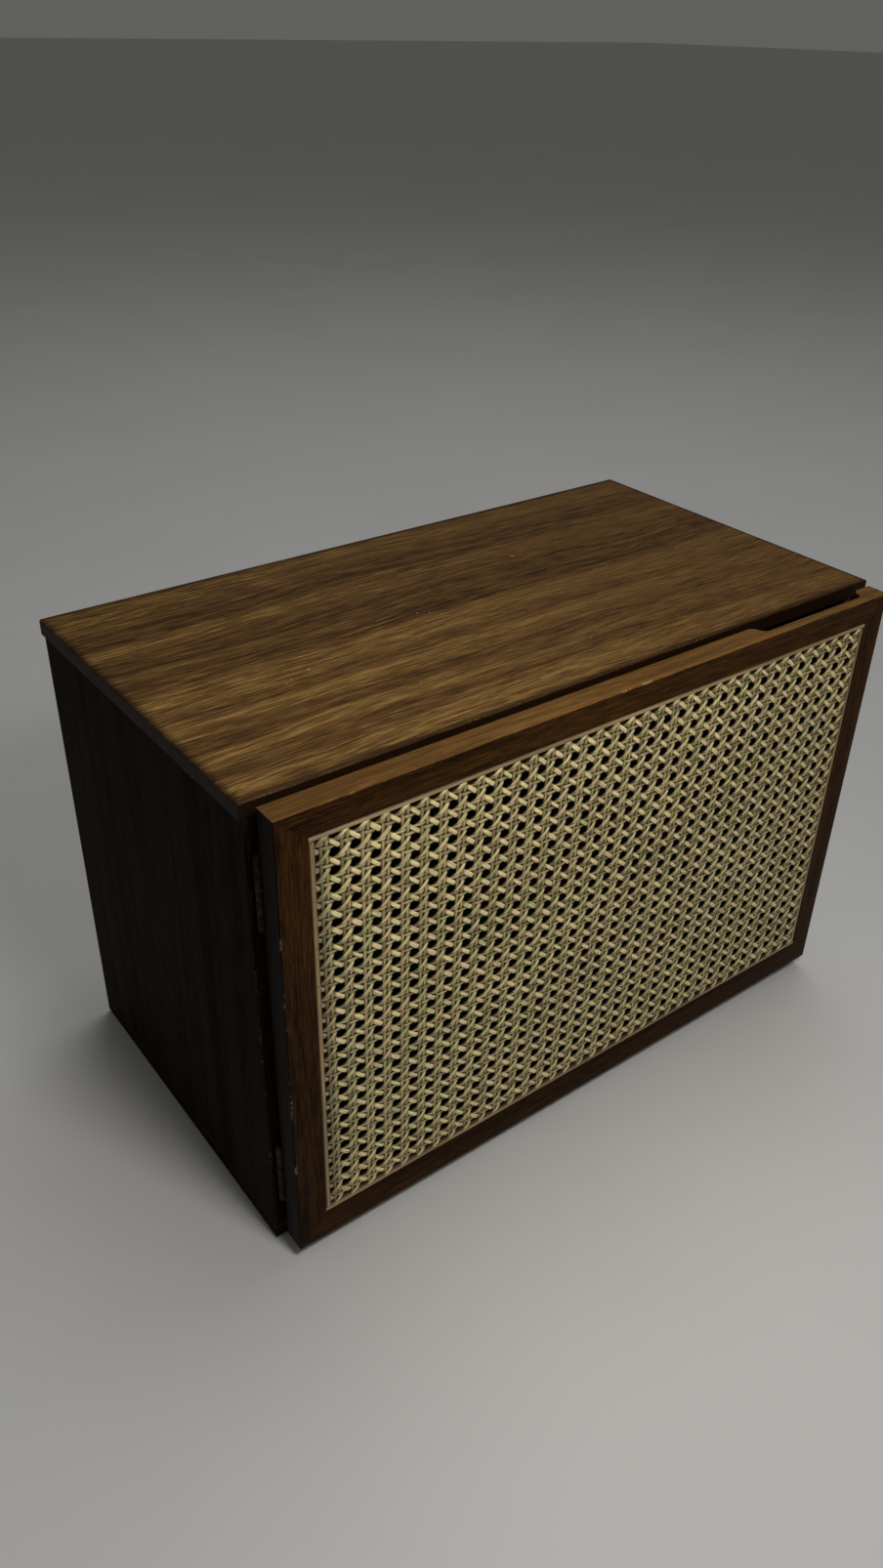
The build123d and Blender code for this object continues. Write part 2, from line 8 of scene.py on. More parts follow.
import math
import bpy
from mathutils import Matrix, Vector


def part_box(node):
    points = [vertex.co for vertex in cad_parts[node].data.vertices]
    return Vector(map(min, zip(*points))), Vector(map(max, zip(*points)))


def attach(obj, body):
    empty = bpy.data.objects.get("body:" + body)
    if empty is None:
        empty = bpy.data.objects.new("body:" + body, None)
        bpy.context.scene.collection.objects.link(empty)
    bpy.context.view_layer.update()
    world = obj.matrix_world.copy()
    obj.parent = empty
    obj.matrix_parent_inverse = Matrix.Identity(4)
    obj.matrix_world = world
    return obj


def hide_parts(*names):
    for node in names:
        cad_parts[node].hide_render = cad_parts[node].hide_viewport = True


bl_info = {
    "name": "Cane Door Media Cabinet",
    "version": (1, 0, 0),
    "blender": (4, 5, 0),
    "location": "View3D > Sidebar > Cabinet",
    "description": "Wood, woven cane, reed and cloth for a small cabinet with one cane door",
    "category": "Object",
}

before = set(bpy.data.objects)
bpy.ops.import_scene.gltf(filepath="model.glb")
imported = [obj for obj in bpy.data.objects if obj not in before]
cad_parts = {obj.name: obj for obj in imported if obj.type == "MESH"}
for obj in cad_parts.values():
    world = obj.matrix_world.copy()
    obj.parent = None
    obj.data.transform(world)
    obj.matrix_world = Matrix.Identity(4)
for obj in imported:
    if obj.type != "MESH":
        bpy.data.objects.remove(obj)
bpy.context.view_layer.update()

import bmesh
import bpy
from bpy.props import FloatProperty, FloatVectorProperty, PointerProperty
from bpy.types import Operator, Panel, PropertyGroup
from mathutils import Matrix, Vector, noise

MM = 0.001
DOOR = "door"
MORE, LESS = 1.0, -1.0                 # side of a plane: larger or smaller coordinates
FACING = Vector((0, -1, 0))            # from the cane to someone in front of the door

rail_low, rail_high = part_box("door_top_rail")
foot_low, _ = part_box("door_bottom_rail")
left_low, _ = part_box("door_left_stile")
_, right_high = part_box("door_right_stile")
top_low, top_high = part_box("top_panel")
side_low, side_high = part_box("left_side_panel")
far_side_low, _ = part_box("right_side_panel")
cane_low, cane_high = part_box("cane_webbing")
door_face = rail_low.y


# ---------------------------------------------------------------- settings
class WeaveSettings(PropertyGroup):
    """Sizes and colours of the cane webbing."""
    pitch_across: FloatProperty(
        name="Pitch Across", description="Hole to hole along the door's width",
        default=16.2 * MM, min=5 * MM, max=40 * MM, unit="LENGTH")
    pitch_up: FloatProperty(
        name="Pitch Up", description="Hole to hole along the door's height",
        default=14.7 * MM, min=5 * MM, max=40 * MM, unit="LENGTH")
    pair_spacing: FloatProperty(
        name="Pair Spacing", description="Between the two strands of an upright or level pair",
        default=4.3 * MM, min=1 * MM, max=10 * MM, unit="LENGTH")
    strand_width: FloatProperty(
        name="Strand Width", description="Width of the upright and level strands",
        default=3.15 * MM, min=0.5 * MM, max=8 * MM, unit="LENGTH")
    falling_width: FloatProperty(
        name="Falling Width", description="Width of the diagonals that fall to the right",
        default=3.6 * MM, min=0.5 * MM, max=8 * MM, unit="LENGTH")
    rising_width: FloatProperty(
        name="Rising Width", description="Width of the diagonals that rise to the right",
        default=3.5 * MM, min=0.5 * MM, max=8 * MM, unit="LENGTH")
    strand_thickness: FloatProperty(
        name="Strand Thickness", description="Thickness of a strand of cane",
        default=1.08 * MM, min=0.2 * MM, max=3 * MM, unit="LENGTH")
    straw: FloatVectorProperty(
        name="Straw", description="Main colour of the cane",
        default=(0.430, 0.336, 0.122), size=3, min=0, max=1, subtype="COLOR")
    # the paler stretches of cane, also painted on the strands' frontmost crowns as a highlight
    pale_straw_and_highlight: FloatVectorProperty(
        name="Pale Straw", description="Colour of the strands' glossy, worn crowns",
        default=(0.93, 0.79, 0.400), size=3, min=0, max=1, subtype="COLOR")
    olive: FloatVectorProperty(
        name="Olive", description="Colour of the greener, older strands",
        default=(0.205, 0.158, 0.046), size=3, min=0, max=1, subtype="COLOR")
    # painted shade: the colour that darkens the strands' edges, the depth of the weave and the cane
    # beside the left bead
    weave_shade: FloatVectorProperty(
        name="Grime", description="Colour of the dirt between the strands",
        default=(0.045, 0.030, 0.012), size=3, min=0, max=1, subtype="COLOR")


class WoodSettings(PropertyGroup):
    """Colours of the woods."""
    top_dark: FloatVectorProperty(
        name="Top Dark", description="Dark streaks of the top's veneer",
        default=(0.033, 0.0152, 0.0054), size=3, min=0, max=1, subtype="COLOR")
    top_middle: FloatVectorProperty(
        name="Top Middle", description="Ground colour of the top's veneer",
        default=(0.115, 0.0565, 0.0160), size=3, min=0, max=1, subtype="COLOR")
    top_light: FloatVectorProperty(
        name="Top Light", description="Golden streaks of the top's veneer",
        default=(0.300, 0.182, 0.053), size=3, min=0, max=1, subtype="COLOR")
    # painted shade: the sides and the bottom get the top's veneer darkened many times over, as if
    # in shadow
    side_dark_shaded: FloatVectorProperty(
        name="Side Dark", description="Dark streaks of the sides",
        default=(0.0050, 0.0033, 0.0019), size=3, min=0, max=1, subtype="COLOR")
    side_light_shaded: FloatVectorProperty(
        name="Side Light", description="Lighter streaks of the sides",
        default=(0.0170, 0.0105, 0.0058), size=3, min=0, max=1, subtype="COLOR")
    door_dark: FloatVectorProperty(
        name="Door Dark", description="Dark figure of the door's frame",
        default=(0.012, 0.0044, 0.0010), size=3, min=0, max=1, subtype="COLOR")
    door_light: FloatVectorProperty(
        name="Door Light", description="Light figure of the door's frame",
        default=(0.072, 0.031, 0.0070), size=3, min=0, max=1, subtype="COLOR")
    inside: FloatVectorProperty(
        name="Inside", description="Colour of the case's inner faces",
        default=(0.060, 0.032, 0.014), size=3, min=0, max=1, subtype="COLOR")
    # painted light: the upward face of the door's top rail is given a lighter colour, as if lit
    # from above
    lit_upper_face: FloatVectorProperty(
        name="Rubbed", description="Colour of the door's upper edge, rubbed lighter by hands",
        default=(0.145, 0.071, 0.0200), size=3, min=0, max=1, subtype="COLOR")
    reed: FloatVectorProperty(
        name="Reed", description="Colour of the reed beads round the cane",
        default=(0.35, 0.235, 0.105), size=3, min=0, max=1, subtype="COLOR")


class StudioSettings(PropertyGroup):
    """Light and camera."""
    key_power: FloatProperty(
        name="Key Power", description="Strength of the main soft light",
        default=4.2, min=0, max=1000, unit="POWER")
    fill_power: FloatProperty(
        name="Fill Power", description="Strength of the fill light",
        default=1.5, min=0, max=1000, unit="POWER")
    overhead_power: FloatProperty(
        name="Overhead Power", description="Strength of the wide light above the floor",
        default=30.0, min=0, max=1000, unit="POWER")
    lens: FloatProperty(
        name="Lens", description="Focal length on a 36 mm sensor", default=27.75, min=5, max=200)


# ---------------------------------------------------------------- shading helper
class Shade:
    """A material whose nodes are added and joined by short calls."""

    def __init__(self, name, **sockets):
        self.material = bpy.data.materials.new(name)
        self.material.use_nodes = True
        tree = self.material.node_tree
        self.nodes, self.links = tree.nodes, tree.links
        self.surface = self.nodes["Principled BSDF"]
        for socket, value in sockets.items():
            self.surface.inputs[socket.replace("_", " ")].default_value = value
        self.place = self.nodes.new("ShaderNodeTexCoord").outputs["Object"]

    def feed(self, socket, value):
        if isinstance(value, bpy.types.NodeSocket):
            self.links.new(value, socket)
        elif socket.type == "RGBA" and len(value) == 3:
            socket.default_value = (*value, 1.0)
        else:
            socket.default_value = value

    def add(self, kind, inputs, **settings):
        node = self.nodes.new("ShaderNode" + kind)
        for key, value in settings.items():
            setattr(node, key, value)
        for key, value in inputs.items():
            self.feed(node.inputs[key], value)
        return node

    def math(self, operation, a, b=0.0):
        return self.add("Math", {0: a, 1: b}, operation=operation).outputs[0]

    def plus(self, a, b):
        return self.math("ADD", a, b)

    def minus(self, a, b):
        return self.math("SUBTRACT", a, b)

    def times(self, a, b):
        return self.math("MULTIPLY", a, b)

    def over(self, a, b):
        return self.math("DIVIDE", a, b)

    def gap(self, a, b):
        """How far two values lie apart."""
        return self.math("ABSOLUTE", self.minus(a, b))

    def mapped(self, vector, scale=(1, 1, 1), shift=(0, 0, 0), turn=(0, 0, 0)):
        turn = tuple(math.radians(a) for a in turn)
        inputs = {"Vector": vector, "Scale": scale, "Location": shift, "Rotation": turn}
        return self.add("Mapping", inputs).outputs["Vector"]

    def noise(self, vector, scale=1.0, detail=2.0, roughness=0.5):
        inputs = {"Vector": vector, "Scale": scale, "Detail": detail, "Roughness": roughness}
        return self.add("TexNoise", inputs).outputs["Fac"]

    def spread(self, value, low, high, to_low=0.0, to_high=1.0):
        """Map Range with smooth ends."""
        inputs = {"Value": value, "From Min": low, "From Max": high,
                  "To Min": to_low, "To Max": to_high}
        return self.add("MapRange", inputs, interpolation_type="SMOOTHSTEP").outputs["Result"]

    def blend(self, factor, a, b, how="MIX"):
        node = self.add("Mix", {0: factor, 6: a, 7: b}, data_type="RGBA", blend_type=how)
        return node.outputs[2]

    def shaded(self, colour, share):
        """The colour, multiplied by a share that differs from place to place."""
        grey = self.add("CombineColor", {0: share, 1: share, 2: share}).outputs[0]
        return self.blend(1.0, colour, grey, "MULTIPLY")

    def axes(self):
        return self.add("SeparateXYZ", {0: self.place}).outputs

    def bump(self, height, strength, distance, normal=None):
        inputs = {"Height": height, "Strength": strength, "Distance": distance}
        if normal is not None:
            inputs["Normal"] = normal
        return self.add("Bump", inputs).outputs["Normal"]

    def finish(self, colour=None, roughness=None, normal=None):
        for name, value in (("Base Color", colour), ("Roughness", roughness), ("Normal", normal)):
            if value is not None:
                self.feed(self.surface.inputs[name], value)
        return self.material


TURN = {"X": (0, 0, 0), "Y": (0, 0, -90), "Z": (0, 90, 0)}     # brings the grain onto X


def dimmed(colour, share):
    return tuple(min(1.0, part * share) for part in colour)


def beyond(shade, axis, place, side, soft=0.6 * MM, ragged=0.0):
    """Mask of what lies past a plane, with a ragged border if wanted."""
    past = shade.times(shade.minus(shade.axes()[axis], place), side)
    if ragged:
        rough = shade.noise(shade.place, 420, 4, 0.7)
        past = shade.plus(past, shade.times(shade.minus(rough, 0.5), ragged))
    return shade.spread(past, -soft / 2, soft / 2)


def arris_wear(shade, arrises, reach, amount):
    """Chips and rubbed stretches along edges, each given as two planes ((axis, place), ...)."""
    xyz = shade.axes()
    mask = None
    for (axis_a, place_a), (axis_b, place_b) in arrises:
        off = shade.plus(shade.gap(xyz[axis_a], place_a), shade.gap(xyz[axis_b], place_b))
        near = shade.spread(off, 0.3 * reach, reach, 1.0, 0.0)
        mask = near if mask is None else shade.math("MAXIMUM", mask, near)
    start = 0.62 - amount * 0.3
    stretches = shade.spread(shade.noise(shade.place, 26, 3, 0.6), start, start + 0.12)
    chips = shade.spread(shade.noise(shade.place, 260, 5, 0.75), 0.50, 0.56)
    return shade.times(mask, shade.times(stretches, chips))


def planned_bands(shade, figure, lift, bands):
    """Bands of the top that follow (share of its depth, lightness), and stray a little from it."""
    waved = shade.plus(shade.axes()[1], shade.times(lift, 0.6))
    share = shade.over(shade.minus(top_high.y, waved), top_high.y - top_low.y)
    ramp = shade.add("ValToRGB", {0: share})
    marks = ramp.color_ramp.elements
    for index, (stop, tone) in enumerate(figure):
        mark = marks[index] if index < 2 else marks.new(stop)
        mark.position = stop
        mark.color = (tone, tone, tone, 1)
    planned = shade.spread(ramp.outputs[0], 0, 1, 0.36, 0.64)
    return shade.plus(shade.times(planned, 0.66), shade.times(bands, 0.34))


def dark_margin(shade, low, high, width, flecks):
    """Mask of the stained, uneven border round the top's face."""
    x, y, _ = shade.axes()
    ends = shade.math("MINIMUM", shade.minus(x, low.x), shade.minus(high.x, x))
    longs = shade.math("MINIMUM", shade.minus(y, low.y), shade.minus(high.y, y))
    uneven = shade.times(shade.minus(flecks, 0.5), width * 0.8)
    inside = shade.plus(shade.math("MINIMUM", ends, longs), uneven)
    return shade.spread(inside, width * 0.1, width, 0.72, 0.0)


def knock(shade, across, recess_shade, length, slant):
    """Mask of a small knock, at shares of the top's width and depth."""
    size = top_high - top_low
    x, y = top_low.x + across * size.x, top_high.y - recess_shade * size.y
    flat = shade.mapped(shade.place, (1, 1, 0), (-x, -y, 0))
    turned = shade.mapped(flat, turn=(0, 0, slant))
    grown = shade.mapped(turned, (1 / length, 1 / KNOCK_WIDTH, 0))
    spot = shade.add("VectorMath", {0: grown}, operation="LENGTH").outputs["Value"]
    return shade.spread(spot, 0.5, 1.0, 0.85, 0.0)


def wood(name, grain, dark, middle, light, seed, gold=0.5, arrises=(), worn=(0.34, 0.21, 0.10),
         wear=0.45, reach=1.8 * MM, figure=(), painted_sheen_span=None, margins=None, zones=(), knocks=(),
         roughness=0.46, shine=0.06):
    """Straight-grained veneer or solid wood with bands, streaks, fibres and open pores."""
    shade = Shade(name, Specular_IOR_Level=shine)
    along = shade.mapped(shade.place, turn=TURN[grain])
    drift = shade.noise(shade.mapped(along, (2.4, 7, 7), (seed, 0, 0)), 1, 2, 0.5)
    lift = shade.times(shade.minus(drift, 0.5), 0.035)
    shift = shade.add("CombineXYZ", {"Y": lift}).outputs[0]
    waved = shade.add("VectorMath", {0: along, 1: shift}, operation="ADD").outputs[0]
    bands = shade.noise(shade.mapped(waved, (1.1, 40, 40), (seed, seed, 0)), 1, 3, 0.6)
    streaks = shade.noise(shade.mapped(waved, (7, 210, 210), (0, seed, seed)), 1, 3, 0.6)
    flecks = shade.noise(shade.mapped(waved, (38, 620, 620), (seed, seed, 5)), 1, 3, 0.65)
    fibres = shade.noise(shade.mapped(waved, (34, 1500, 1500), (seed, 0, seed)), 1, 3, 0.6)
    pores = shade.noise(shade.mapped(waved, (85, 1500, 1500), (seed, 3, 0)), 1, 2, 0.5)
    if figure:
        bands = planned_bands(shade, figure, lift, bands)
    fine = shade.plus(shade.times(streaks, 0.18), shade.times(flecks, 0.36))
    tone = shade.plus(shade.times(bands, 0.46), fine)
    colour = shade.blend(shade.spread(tone, 0.40, 0.51), dark, middle)
    # painted sheen: the golden streaks brightest at the low end of the given span of x, fading
    # towards its high end
    bright = gold if painted_sheen_span is None else shade.spread(shade.axes()[0], *painted_sheen_span, gold, gold * 0.30)
    colour = shade.blend(shade.times(shade.spread(tone, 0.49, 0.60), bright), colour, light)
    colour = shade.shaded(colour, shade.spread(fibres, 0.34, 0.66, 0.56, 1.34))
    pore = shade.spread(pores, 0.60, 0.70, 0.0, 0.6)
    colour = shade.blend(pore, colour, dimmed(dark, 0.35))
    rough = shade.spread(fibres, 0.3, 0.7, roughness - 0.05, roughness + 0.10)
    for zone, tint in zones:
        grained = shade.shaded(tint, shade.spread(tone, 0.42, 0.58, 0.62, 1.30))
        colour = shade.blend(beyond(shade, *zone), colour, grained)
    if margins:
        colour = shade.blend(dark_margin(shade, *margins, flecks), colour, dimmed(dark, 0.5))
    if arrises:
        bare = arris_wear(shade, arrises, reach, wear)
        colour = shade.blend(bare, colour, worn)
        rough = shade.plus(rough, shade.times(bare, 0.25))
    for place in knocks:
        colour = shade.blend(knock(shade, *place), colour, KNOCK_COLOUR)
    height = shade.minus(fibres, shade.times(pore, 1.2))
    return shade.finish(colour, rough, shade.bump(height, 0.22, 0.25 * MM))


# ---------------------------------------------------------------- mesh helpers
def new_piece(name, bm, material, body, replaced=()):
    """Object from a bmesh, at the origin, riding on a body."""
    bmesh.ops.recalc_face_normals(bm, faces=bm.faces)
    mesh = bpy.data.meshes.new(name)
    bm.to_mesh(mesh)
    bm.free()
    mesh.shade_smooth()
    mesh.materials.append(material)
    piece = bpy.data.objects.new(name, mesh)
    bpy.context.scene.collection.objects.link(piece)
    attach(piece, body)
    if replaced:
        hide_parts(*replaced)
    return piece


def copy_along(bm, step, count):
    """Repeat everything in the bmesh at equal steps, doubling until there is enough."""
    first = len(bm.faces)
    have = 1
    while have < count:
        take = min(have, count - have)
        source = bm.faces[:first * take]
        made = bmesh.ops.duplicate(bm, geom=source)["geom"]
        moved = [g for g in made if isinstance(g, bmesh.types.BMVert)]
        bmesh.ops.translate(bm, verts=moved, vec=step * have)
        have += take


def strand_length(bm, direction, across, path, width, thickness, sides):
    """One repeat of a strand: a flattened ring drawn along a list of (distance, height)."""
    turn = Matrix((across, FACING, direction)).transposed().to_4x4()
    size = Matrix.Diagonal((width, thickness, 1, 1))
    start = Matrix.Translation(direction * path[0][0] + FACING * path[0][1])
    bmesh.ops.create_circle(bm, cap_ends=False, segments=sides, radius=0.5,
                            matrix=start @ turn @ size)
    edges = bm.edges[:]
    for (here, level), (there, next_level) in zip(path, path[1:]):
        made = bmesh.ops.extrude_edge_only(bm, edges=edges)["geom"]
        verts = [g for g in made if isinstance(g, bmesh.types.BMVert)]
        edges = [e for e in made if isinstance(e, bmesh.types.BMEdge)
                 and all(v in verts for v in e.verts)]
        bmesh.ops.translate(bm, verts=verts,
                            vec=direction * (there - here) + FACING * (next_level - level))


def trim_to_opening(bm, low, high):
    """Cut the strands off under the beads and close their ends."""
    cuts = ((low, (-1, 0, 0)), (low, (0, 0, -1)), (high, (1, 0, 0)), (high, (0, 0, 1)))
    for point, normal in cuts:
        geometry = bm.verts[:] + bm.edges[:] + bm.faces[:]
        bmesh.ops.bisect_plane(bm, geom=geometry, dist=1e-7, plane_co=point, plane_no=normal,
                               clear_outer=True)
        bmesh.ops.holes_fill(bm, edges=[e for e in bm.edges if e.is_boundary], sides=0)

def unsettle(bm, amount, scale, seed):
    """Small uneven shifts, as in anything woven by hand."""
    offset = Vector((seed, 0, 0))
    for vert in bm.verts:
        shift = noise.noise_vector(vert.co * scale + offset)
        vert.co += Vector((shift.x, shift.y * 0.35, shift.z)) * amount


# ---------------------------------------------------------------- cane
WEAVE_DEPTH = 1.5                      # of a strand's thickness, from the lip to the weave's middle
# paleness of each set of strands, partly painted light: the diagonals, which lie on top of the
# weave, are paler than the pairs; it also sets the strength of the painted highlight on the crowns
PALENESS_AND_LIGHT = {"upright": 0.15, "level": 0.25, "falling": 0.9, "rising": 0.6}


def cane_material(weave, name, strand, pale):
    """Glossy outer skin of rattan: every strand has its own tone, with pale and olive stretches."""
    shade = Shade(name, Coat_Weight=0.35, Coat_Roughness=0.25)

    def measure(way):
        inputs = {0: shade.place, 1: tuple(way)}
        return shade.add("VectorMath", inputs, operation="DOT_PRODUCT").outputs[1]

    along, across = measure(strand["way"]), measure(strand["across"])
    line = shade.math("FLOOR", shade.over(shade.minus(across, strand["edge"]), strand["spacing"]))
    own = shade.add("TexWhiteNoise", {"W": line}, noise_dimensions="1D").outputs["Value"]

    def stretch(length, thickness):
        parts = {"X": shade.over(along, length), "Y": shade.over(across, thickness),
                 "Z": shade.times(own, 90)}
        return shade.add("CombineXYZ", parts).outputs[0]

    stretches = shade.noise(stretch(16 * MM, 30 * MM), 1, 2, 0.6)
    fibres = shade.noise(stretch(14 * MM, 0.55 * MM), 1, 2, 0.6)
    ridges = shade.noise(stretch(25 * MM, 1.3 * MM), 1, 1, 0.5)
    straw, pale_straw_and_highlight = tuple(weave.straw), tuple(weave.pale_straw_and_highlight)
    olive, painted_shade = tuple(weave.olive), tuple(weave.weave_shade)
    tone = shade.plus(shade.times(stretches, 0.75), shade.times(own, 0.25))
    colour = shade.blend(shade.spread(tone, 0.34, 0.56), olive, straw)
    light = shade.times(shade.spread(tone, 0.46, 0.70), pale)
    colour = shade.blend(light, colour, pale_straw_and_highlight)

    # painted shade along a strand's edges
    cell = strand["cell"]
    cells = shade.over(shade.minus(across, strand["edge"]), cell)
    part = shade.times(shade.math("FRACT", cells), cell)
    off = shade.gap(shade.gap(part, cell / 2), strand["apart"])
    half = strand["width"] / 2
    colour = shade.blend(shade.spread(off, 0.38 * half, 0.94 * half, 0.0, 0.92), colour, painted_shade)

    # painted highlight on the frontmost crowns, painted shade in the depth of the weave
    depth = shade.axes()[1]
    middle = cane_high.y - WEAVE_DEPTH * weave.strand_thickness
    crown_highlight = shade.spread(depth, middle - 1.35 * MM, middle - 0.35 * MM, pale, 0.0)
    colour = shade.blend(crown_highlight, colour, pale_straw_and_highlight)
    recess_shade = shade.spread(depth, middle - 0.65 * MM, middle + 0.80 * MM, 0.0, 0.88)
    colour = shade.blend(recess_shade, colour, painted_shade)
    groove = shade.spread(ridges, 0.52, 0.64, 0.0, 0.42)
    colour = shade.blend(groove, colour, dimmed(olive, 0.45))
    colour = shade.shaded(colour, shade.spread(fibres, 0.36, 0.64, 0.80, 1.14))

    # painted shadow beside the left bead
    from_bead = shade.gap(shade.axes()[0], cane_low.x)
    near = shade.spread(from_bead, 2 * MM, 14 * MM, 0.55, 0.0)
    colour = shade.blend(near, colour, dimmed(painted_shade, 0.6))
    rough = shade.spread(fibres, 0.3, 0.7, 0.36, 0.52)
    height = shade.minus(fibres, shade.times(groove, 2.0))
    return shade.finish(colour, rough, shade.bump(height, 0.35, 0.14 * MM))


def straight_path(pitch, spacing, rise, sign):
    """Heights of an upright or level strand: over one strand of a pair, under the other."""
    half = spacing / 2
    gap = pitch / 2 - half
    falling = ((-half - 0.5 * gap, 0.45), (-half - 0.12 * gap, 1.0), (-0.6 * half, 0.85))
    rising = [(-place, -height) for place, height in reversed(falling)]
    inner = [(place, height * sign * rise) for place, height in (*falling, *rising)]
    return [(-pitch / 2, 0.0), *inner, (pitch / 2, 0.0)]


def diagonal_path(run, level):
    """Heights of a diagonal strand: arched over one pair, flat under the next."""
    arch = ((0.0, 1.12), (0.10, 1.04), (0.18, 0.74), (0.26, -0.02), (0.34, -0.76), (0.42, -0.98))
    shares = arch + ((0.5, -1.0),) + tuple((1 - share, height) for share, height in reversed(arch))
    if level < 0:
        shares = tuple((share, -height) for share, height in shares)
        half = len(shares) // 2
        shares = (tuple((share - 0.5, -height) for share, height in shares[half:])
                  + tuple((share + 0.5, -height) for share, height in shares[1:half + 1]))
    return [(share * run, height * abs(level)) for share, height in shares]


def strand_sets(weave, columns, rows, corner):
    """The six sets of parallel strands, each with the repeat that makes it up."""
    px, pz = weave.pitch_across, weave.pitch_up
    pair, thick = weave.pair_spacing, weave.strand_thickness
    right, up = Vector((1, 0, 0)), Vector((0, 0, 1))
    for sign in (-1, 1):
        yield {"kind": "upright", "way": -up, "across": right, "width": weave.strand_width,
               "sides": 6, "path": straight_path(pz, pair, thick / 2, sign),
               "start": corner + right * (px + sign * pair) / 2 - up * pz / 2,
               "step": -up * pz, "count": rows, "side_step": right * px, "lines": columns}
        yield {"kind": "level", "way": right, "across": up, "width": weave.strand_width,
               "sides": 6, "path": straight_path(px, pair, thick / 2, sign),
               "start": corner + right * px / 2 - up * (pz - sign * pair) / 2,
               "step": right * px, "count": columns, "side_step": -up * pz, "lines": rows}
    run = math.hypot(px, pz)
    for kind, slope in (("falling", -1), ("rising", 1)):
        step = Vector((px, 0, slope * pz))
        way = step.normalized()
        top = up * pz / 2 if slope < 0 else -up * (rows + 0.5) * pz
        yield {"kind": kind, "way": way, "across": Vector((-way.z, 0, way.x)), "sides": 8,
               "width": weave.falling_width if slope < 0 else weave.rising_width,
               "path": diagonal_path(run, -slope * thick), "step": step, "count": rows + 2,
               "start": corner + top - right * (rows + 2) * px,
               "side_step": right * px, "lines": columns + rows + 3}


def woven_set(strand, thickness, seed):
    """All the strands of one set: one repeat, copied along its length and then sideways."""
    part = bmesh.new()
    strand_length(part, strand["way"], strand["across"], strand["path"], strand["width"], thickness,
                  strand["sides"])
    copy_along(part, strand["step"], strand["count"])
    bmesh.ops.remove_doubles(part, verts=part.verts, dist=0.02 * MM)
    copy_along(part, strand["side_step"], strand["lines"])
    bmesh.ops.translate(part, verts=part.verts, vec=strand["start"])
    middle = strand["start"].dot(strand["across"])
    spacing = abs(strand["side_step"].dot(strand["across"]))
    for vert in part.verts:
        place = vert.co.dot(strand["across"]) - middle
        line = round(place / spacing)
        along = vert.co.dot(strand["way"])
        swell = (noise.noise(Vector((line * 3.7, along * 30, seed))) * 0.16
                 + noise.noise(Vector((line * 7.3 + 0.5, seed, 0.5))) * 0.30)
        vert.co += strand["across"] * (place - line * spacing) * swell
    return part, middle, spacing


class CABINET_OT_cane_webbing(Operator):
    """Weave the six-way cane: upright and level pairs, and two sets of diagonals"""
    bl_idname = "cabinet.cane_webbing"
    bl_label = "Cane Webbing"

    def execute(self, context):
        weave = context.scene.cabinet_weave
        px, pz = weave.pitch_across, weave.pitch_up
        thick = weave.strand_thickness
        tuck = 0.9 * MM                # under the beads
        low = Vector((cane_low.x - tuck, 0, cane_low.z - tuck))
        high = Vector((cane_high.x + tuck, 0, cane_high.z + tuck))
        columns = math.ceil((high.x - low.x) / px) + 2
        rows = math.ceil((high.z - low.z) / pz) + 2
        hole = Vector((cane_low.x - 1.6 * MM, cane_high.y - WEAVE_DEPTH * thick,
                       cane_high.z + 0.2 * MM))
        corner = hole + Vector((-px, 0, pz))
        pieces = {}
        for seed, strand in enumerate(strand_sets(weave, columns, rows, corner)):
            part, middle, spacing = woven_set(strand, thick, float(seed))
            if strand["kind"] in ("upright", "level"):
                strand.update(edge=corner.dot(strand["across"]), spacing=spacing / 2,
                              cell=spacing, apart=weave.pair_spacing / 2)
            else:
                strand.update(edge=middle - spacing / 2, spacing=spacing, cell=spacing, apart=0.0)
            whole, _ = pieces.setdefault(strand["kind"], (bmesh.new(), strand))
            mesh = bpy.data.meshes.new("strands")
            part.to_mesh(mesh)
            part.free()
            whole.from_mesh(mesh)
            bpy.data.meshes.remove(mesh)
        for kind, (bm, strand) in pieces.items():
            trim_to_opening(bm, low, high)
            unsettle(bm, 0.32 * MM, 22.0, 0.0)
            unsettle(bm, 0.12 * MM, 160.0, PALENESS_AND_LIGHT[kind])
            material = cane_material(weave, f"cane_{kind}", strand, PALENESS_AND_LIGHT[kind])
            replaced = ("cane_webbing",) if kind == "upright" else ()
            new_piece(f"cane_{kind}_strands", bm, material, DOOR, replaced)
        return {"FINISHED"}


# ---------------------------------------------------------------- woods and the rest
# lightness of the top's veneer: share from its back edge, lightness; the two ends come first
TOP_FIGURE = ((0.0, 0.40), (1.0, 0.40), (0.07, 0.78), (0.13, 0.34), (0.21, 0.26), (0.28, 0.74),
              (0.34, 0.34), (0.42, 0.16), (0.50, 0.28), (0.58, 0.90), (0.64, 0.50), (0.69, 0.78),
              (0.76, 0.42), (0.85, 0.64), (0.89, 0.22), (0.95, 0.70))
# pale knocks in the top: shares of its width and depth, length, slant in degrees
TOP_KNOCKS = ((0.64, 0.33, 2.6 * MM, 60), (0.41, 0.49, 1.0 * MM, 0), (0.425, 0.505, 1.2 * MM, 20),
              (0.17, 0.63, 0.9 * MM, 0), (0.18, 0.62, 0.8 * MM, 0), (0.21, 0.60, 1.3 * MM, 35),
              (0.30, 0.80, 0.8 * MM, 0), (0.86, 0.55, 0.8 * MM, 0), (0.55, 0.84, 0.8 * MM, 50))
KNOCK_WIDTH = 0.5 * MM
KNOCK_COLOUR = (0.62, 0.54, 0.42)
SKIN = 1.0 * MM                        # depth of an outer face's colour


SIDES = {"top": "X", "bottom": "X", "left": "Z", "right": "Z"}     # and the axis each runs along


def paint(node, material):
    """A carried-over node takes the material in its own slot."""
    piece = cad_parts[node]
    piece.data.materials.clear()
    piece.data.materials.append(material)


